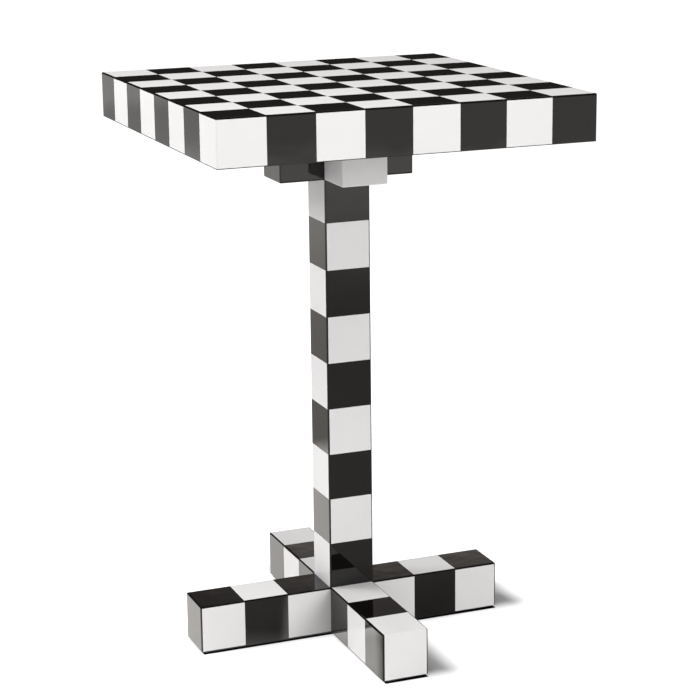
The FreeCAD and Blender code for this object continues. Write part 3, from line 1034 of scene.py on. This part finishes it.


# White studio paper. It glows white for what looks at it, except under the foot, where painted shade darkens
# it, and where a painted shadow holds the glow back to the right of the arms; it isn't there when looked at
# from below. For what mirrors it, it is a painted reflection: darkened near the table, with a bright painted
# pool behind, a bright painted nook between two arms, and pale further out.
def studioPaper():
    material, tree, place = newMaterial("studioPaper")
    path = add(tree, "ShaderNodeLightPath").outputs
    tooth = fade(tree, noise(tree, place, *floor["tooth"]), *floor["toothSpan"], *floor["paper"])
    # Painted shade: the paper is darkened for the camera and for mirrored rays alone.
    paintedShare = calc(tree, "MULTIPLY_ADD", path["Is Glossy Ray"], floor["mirroredPaintedShade"] - 1.0, 1.0)
    paintedShare = calc(tree, "MULTIPLY_ADD", path["Is Camera Ray"], floor["seenPaintedShade"] - 1.0, paintedShare)
    # Painted shade: outside is 0 under the foot and 1 beyond it. It darkens the paper there and holds back
    # its glow.
    outside = crossDistance(tree, place, floor["paintedUnderShift"], floor["paintedUnderInset"])
    outside = fade(tree, outside, *floor["paintedUnderEdge"], 0.0, 1.0)
    tooth = calc(tree, "MULTIPLY", calc(tree, "MULTIPLY", tooth, paintedShare), outside)
    tint = mixColour(tree, path["Is Glossy Ray"], grey(1.0), floor["mirroredTint"])
    paper = add(tree, "ShaderNodeBsdfDiffuse", {"Color": mixColour(tree, tooth, grey(0.0), tint)})
    # Painted shadow: the white glow is held back near the foot, in a shape shifted to the right of the arms,
    # so the darker paper shows there.
    shifted = crossDistance(tree, place, floor["paintedShadowShift"], 0.0)
    clearOfPaintedShadow = fade(tree, shifted, *floor["paintedShadowReach"], 0.0, 1.0)
    direct = calc(tree, "MAXIMUM", path["Is Camera Ray"], path["Is Transmission Ray"])
    direct = calc(tree, "MULTIPLY", direct, calc(tree, "MULTIPLY", outside, clearOfPaintedShadow))
    # Painted reflection: glow that only mirrored rays find, rising far from the table, lower in a patch
    # behind it, and in a pool and a nook.
    fromTable = floorDistance(tree, place, floor["farFrom"])
    fromDim = floorDistance(tree, place, floor["dim"])
    fromPaintedPool = floorDistance(tree, place, floor["paintedPool"])
    far = fade(tree, fromTable, *floor["farReach"], 0.0, floor["paintedFarGlow"])
    far = calc(tree, "MULTIPLY", far, fade(tree, fromDim, *floor["dimReach"], floor["dimShare"], 1.0))
    paintedPool = fade(tree, fromPaintedPool, *floor["paintedPoolReach"], floor["paintedPoolGlow"], 0.0)
    paintedPool = calc(tree, "MULTIPLY_ADD", paintedNookShare(tree, place), floor["paintedNookGlow"], paintedPool)
    mirrored = calc(tree, "MULTIPLY", path["Is Glossy Ray"], calc(tree, "ADD", far, paintedPool))
    strength = calc(tree, "MULTIPLY_ADD", direct, floor["glow"], mirrored)
    glowTint = mixColour(tree, path["Is Glossy Ray"], grey(1.0), floor["glowTint"])
    glow = add(tree, "ShaderNodeEmission", {"Color": glowTint, "Strength": strength})
    lit = add(tree, "ShaderNodeAddShader", {0: paper.outputs[0], 1: glow.outputs[0]})
    below = add(tree, "ShaderNodeNewGeometry").outputs["Backfacing"]
    clear = add(tree, "ShaderNodeBsdfTransparent")
    both = add(tree, "ShaderNodeMixShader", {0: below, 1: lit.outputs[0], 2: clear.outputs[0]})
    add(tree, "ShaderNodeOutputMaterial", {"Surface": both.outputs[0]})
    return material


half = floor["size"] / 2
corners = np.array([(-half, -half, 0.0), (half, -half, 0.0), (half, half, 0.0), (-half, half, 0.0)])
corners[:, 2] = cadBox[0].z - floor["gap"]
studioFloor = meshObject("studioFloor", corners, np.arange(4), np.array([4]))
studioFloor.data.materials.append(studioPaper())


# A matrix from a place and the ways its own x, y and z point.
def placedFacing(place, right, up, backwards):
    matrix = Matrix(np.stack([right, up, backwards], axis=1).tolist()).to_4x4()
    matrix.translation = place
    return matrix


def lamp(name, target, place, size, watts):
    light = bpy.data.lights.new(name, "AREA")
    light.shape = "RECTANGLE"
    light.size, light.size_y = size
    light.energy = watts
    rig = bpy.data.objects.new(name, light)
    bpy.context.scene.collection.objects.link(rig)
    backwards = np.array(place, float) - np.array(target, float)
    backwards /= np.linalg.norm(backwards)
    side = np.cross([0.0, 0.0, 1.0], backwards)
    side /= np.linalg.norm(side)
    rig.matrix_world = placedFacing(place, side, np.cross(backwards, side), backwards)
    rig.visible_camera = rig.visible_glossy = False


# Four soft boxes, all aimed at the middle of the table. Sizes are in metres.
lampTarget = (0.0, 0.0, 0.4)
lamps = {
    "frontBox": {"place": (1.431, -3.932, 1.76), "size": (1.8, 2.4), "watts": 81.5},
    "leftBox": {"place": (-3.145, 1.965, 2.372), "size": (1.8, 1.0), "watts": 106.0},
    "backBox": {"place": (0.0, 2.705, 1.125), "size": (1.0, 1.0), "watts": 26.5},
    "topBox": {"place": (-0.675, -0.804, 2.219), "size": (1.0, 1.0), "watts": 22.5},
}
for name, values in lamps.items():
    lamp(name, lampTarget, **values)

room = {
    "fill": 0.18,                 # all round, for the soft light
    "white": 1.0,                 # for the camera
    "mirrored": 0.02,             # painted reflection: dark walls that only mirrored rays find
    "mirroredTint": (1.06, 0.965, 0.91, 1.0),
    "paintedCeiling": 0.096,            # and the level of its painted ceiling
    "paintedCeilingFrom": (0.6, 0.95),  # it comes in between these heights of a ray
    "paintedScreen": 0.52,               # painted reflection: a soft pale screen behind the right side, which only mirrored rays find
    "paintedScreenAt": (27.0, 18.0),     # degrees right of +Y, and up
    "paintedScreenReach": (13.5, 4.0),
    "paintedScreenFoot": (9.5, 14.0),    # it fades in upwards,
    "paintedScreenTop": (18.8, 21.2),    # and most of it out again
    "paintedScreenRest": 0.25,
}


# The room: white where the camera looks, dim all round for the fill. Mirrored rays find a painted reflection
# of their own: dark walls, a pale screen behind the right side and a dim ceiling.
def studioRoom():
    world = bpy.data.worlds.new("studioRoom")
    bpy.context.scene.world = world
    world.use_nodes = True
    tree = world.node_tree
    tree.nodes.clear()
    direction = add(tree, "ShaderNodeTexCoord").outputs["Generated"]
    up = add(tree, "ShaderNodeSeparateXYZ", {0: direction}).outputs[2]
    path = add(tree, "ShaderNodeLightPath").outputs
    turn, rise = (math.radians(angle) for angle in room["paintedScreenAt"])
    paintedScreenWay = (math.sin(turn) * math.cos(rise), math.cos(turn) * math.cos(rise), math.sin(rise))
    near = add(tree, "ShaderNodeVectorMath", {0: direction, 1: paintedScreenWay}, operation="DOT_PRODUCT")
    reach = [math.cos(math.radians(angle)) for angle in room["paintedScreenReach"]]
    paintedScreen = fade(tree, near.outputs["Value"], *reach, 0.0, room["paintedScreen"])
    for edge, before, after in (("paintedScreenFoot", 0.0, 1.0), ("paintedScreenTop", 1.0, room["paintedScreenRest"])):
        heights = [math.sin(math.radians(angle)) for angle in room[edge]]
        paintedScreen = calc(tree, "MULTIPLY", paintedScreen, fade(tree, up, *heights, before, after))
    # Painted reflection: the level that mirrored rays alone find.
    mirrored = fade(tree, up, *room["paintedCeilingFrom"], room["mirrored"], room["paintedCeiling"])
    mirrored = calc(tree, "ADD", mirrored, paintedScreen)
    strength = room["fill"]
    for ray, level in (("Is Glossy Ray", mirrored), ("Is Camera Ray", room["white"])):
        strength = add(tree, "ShaderNodeMix", {0: path[ray], 2: strength, 3: level}).outputs[0]
    tint = mixColour(tree, path["Is Glossy Ray"], grey(1.0), room["mirroredTint"])
    background = add(tree, "ShaderNodeBackground", {"Color": tint, "Strength": strength})
    add(tree, "ShaderNodeOutputWorld", {"Surface": background.outputs[0]})


studioRoom()
bpy.context.scene.view_settings.view_transform = "Standard"
print("floor, lamps and room made")


camera = {
    "place": (-0.994866, -2.542733, 1.092010),
    "yaw": 21.632,                # to the right of +Y, in degrees
    "pitch": 14.411,              # downwards
    "roll": -0.6666,
    "lens": 108.081,              # millimetres
    "film": 36.0,                 # its width
    "farthest": 200.0,            # metres
}


def addCamera():
    yaw, pitch, roll = (math.radians(camera[k]) for k in ("yaw", "pitch", "roll"))
    level = math.cos(pitch)
    forward = np.array([math.sin(yaw) * level, math.cos(yaw) * level, -math.sin(pitch)])
    right = np.array([math.cos(yaw), -math.sin(yaw), 0.0])
    up = np.cross(right, forward)
    tiltedRight = math.cos(roll) * right + math.sin(roll) * up
    tiltedUp = -math.sin(roll) * right + math.cos(roll) * up
    data = bpy.data.cameras.new("camera")
    data.lens = camera["lens"]
    data.sensor_width = camera["film"]
    data.clip_end = camera["farthest"]
    seat = bpy.data.objects.new("camera", data)
    bpy.context.scene.collection.objects.link(seat)
    seat.matrix_world = placedFacing(camera["place"], tiltedRight, tiltedUp, -forward)
    bpy.context.scene.camera = seat


addCamera()
print("camera placed")
